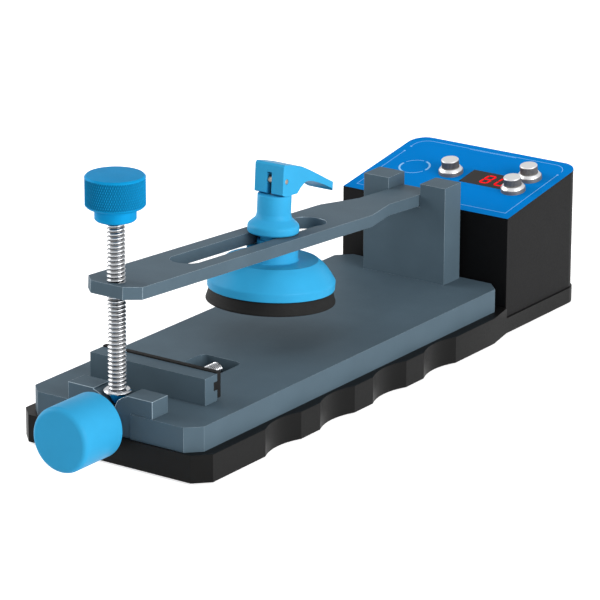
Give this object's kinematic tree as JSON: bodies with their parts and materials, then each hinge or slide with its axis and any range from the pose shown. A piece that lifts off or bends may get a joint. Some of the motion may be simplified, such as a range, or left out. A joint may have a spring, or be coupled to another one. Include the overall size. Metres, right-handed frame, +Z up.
{
  "type": "lcd screen separator",
  "caption": "Bench screen separator: heated plate with a screw clamp, hinged lifting arm with a sliding cam-lever suction cup, and a temperature controller.",
  "frame": {"origin": "on the floor below the middle of the whole tool's box", "axes": "+X to the right, +Y from the clamp knob to the controller, +Z up"},
  "size_m": [0.0878, 0.2996, 0.1109],
  "materials": {
    "slate_aluminium": "slate-blue anodised, fine blasted",
    "black_body": "satin black",
    "black_case": "satin black powder coat",
    "blue_knob": "blue anodised",
    "blue_plastic": "moulded, satin",
    "blue_panel": "printed sheet",
    "smoked_window": "gloss",
    "red_digits": "lit",
    "white_module": "matt",
    "bright_steel": "bright plated",
    "steel": "turned",
    "black_steel": "black oxide",
    "black_rubber": "matt",
    "silicone": "orange-red silicone",
    "ceramic_board": "pressed fibre board",
    "brass": "turned",
    "circuit_board": "solder mask",
    "black_moulding": "moulded"
  },
  "bodies": {
    "root": {"base_tray": "black_body", "rubber_feet": "black_rubber", "heating_plate": "slate_aluminium", "heater_pad": "silicone", "insulation_sheet": "ceramic_board", "temp_sensor": "steel", "front_block": "slate_aluminium", "yoke": "slate_aluminium", "pivot_pin": "steel", "plate_screws": "black_steel", "yoke_screws": "black_steel", "block_screws": "black_steel", "case_shell": "black_case", "panel_sheet": "blue_panel", "display_window": "smoked_window", "display_digits": "red_digits", "display_module": "white_module", "button_collars": "bright_steel", "switch_bodies": "black_moulding", "control_board": "circuit_board", "power_board": "circuit_board", "board_screws": "steel", "case_screws": "black_steel", "mains_inlet": "black_moulding", "inlet_pins": "brass"},
    "arm": {"lift_arm": "slate_aluminium"},
    "lift_foot": {"lift_foot": "steel"},
    "lift_screw": {"lift_screw": "steel", "lift_knob": "blue_knob", "knob_grub_screw": "black_steel"},
    "clamp_screw": {"clamp_screw": "steel", "clamp_knob": "blue_knob", "clamp_grub_screw": "black_steel", "clamp_clip": "black_steel"},
    "jaw": {"clamp_jaw": "slate_aluminium", "jaw_pad": "black_rubber", "jaw_nut": "brass"},
    "cup_slide": {"slide_bush": "blue_plastic"},
    "cup": {"cup_dome": "blue_plastic", "cup_sleeve": "blue_plastic"},
    "plunger": {"cup_plunger": "steel", "cup_rubber": "black_rubber", "lever_pin": "steel"},
    "cam_lever": {"cam_lever": "blue_plastic"},
    "left_button": {"left_button": "bright_steel"},
    "front_button": {"front_button": "bright_steel"},
    "back_button": {"back_button": "bright_steel"}
  },
  "joints": [
    {"name": "arm_tilt", "type": "hinge", "parent": "root", "child": "arm", "pos_m": [0, 0.08298, 0.055], "axis": [-1, 0, 0], "range_deg": [0, 75]},
    {"name": "lift_travel", "type": "slide", "parent": "arm", "child": "lift_foot", "axis": [0, 0, 1], "range_m": [0, 0.035]},
    {"name": "lift_turn", "type": "hinge", "parent": "lift_foot", "child": "lift_screw", "pos_m": [0, -0.11432, 0.0608], "axis": [0, 0, 1], "range_deg": [0, 7777]},
    {"name": "clamp_turn", "type": "hinge", "parent": "root", "child": "clamp_screw", "pos_m": [0, -0.11902, 0.018], "axis": [0, 1, 0], "range_deg": [-3600, 12600]},
    {"name": "jaw_slide", "type": "slide", "parent": "root", "child": "jaw", "axis": [0, 1, 0], "range_m": [-0.01, 0.035]},
    {"name": "cup_slide", "type": "slide", "parent": "arm", "child": "cup_slide", "axis": [0, 0.9979, -0.0645], "range_m": [-0.055, 0.023]},
    {"name": "cup_turn", "type": "hinge", "parent": "cup_slide", "child": "cup", "pos_m": [0, -0.01532, 0.05895], "axis": [0, 0.0645, 0.9979], "continuous": true},
    {"name": "plunger_travel", "type": "slide", "parent": "cup", "child": "plunger", "axis": [0, 0.0645, 0.9979], "range_m": [-0.001, 0]},
    {"name": "cam_turn", "type": "hinge", "parent": "plunger", "child": "cam_lever", "pos_m": [0, -0.01532, 0.08536], "axis": [1, 0, 0], "range_deg": [0, 90]},
    {"name": "left_button_press", "type": "slide", "parent": "root", "child": "left_button", "axis": [0, 0.1595, -0.9872], "range_m": [0, 0.0012], "stiffness_N_per_m": 300, "springref_m": -0.001},
    {"name": "front_button_press", "type": "slide", "parent": "root", "child": "front_button", "axis": [0, 0.1595, -0.9872], "range_m": [0, 0.0012], "stiffness_N_per_m": 300, "springref_m": -0.001},
    {"name": "back_button_press", "type": "slide", "parent": "root", "child": "back_button", "axis": [0, 0.1595, -0.9872], "range_m": [0, 0.0012], "stiffness_N_per_m": 300, "springref_m": -0.001}
  ],
  "couplings": [
    {"joint": "lift_travel", "follows": "lift_turn", "m_per_rad": 0.00025783},
    {"joint": "jaw_slide", "follows": "clamp_turn", "m_per_rad": 0.00015915},
    {"joint": "cam_turn", "follows": "plunger_travel", "rad_per_m": -1570.8}
  ]
}
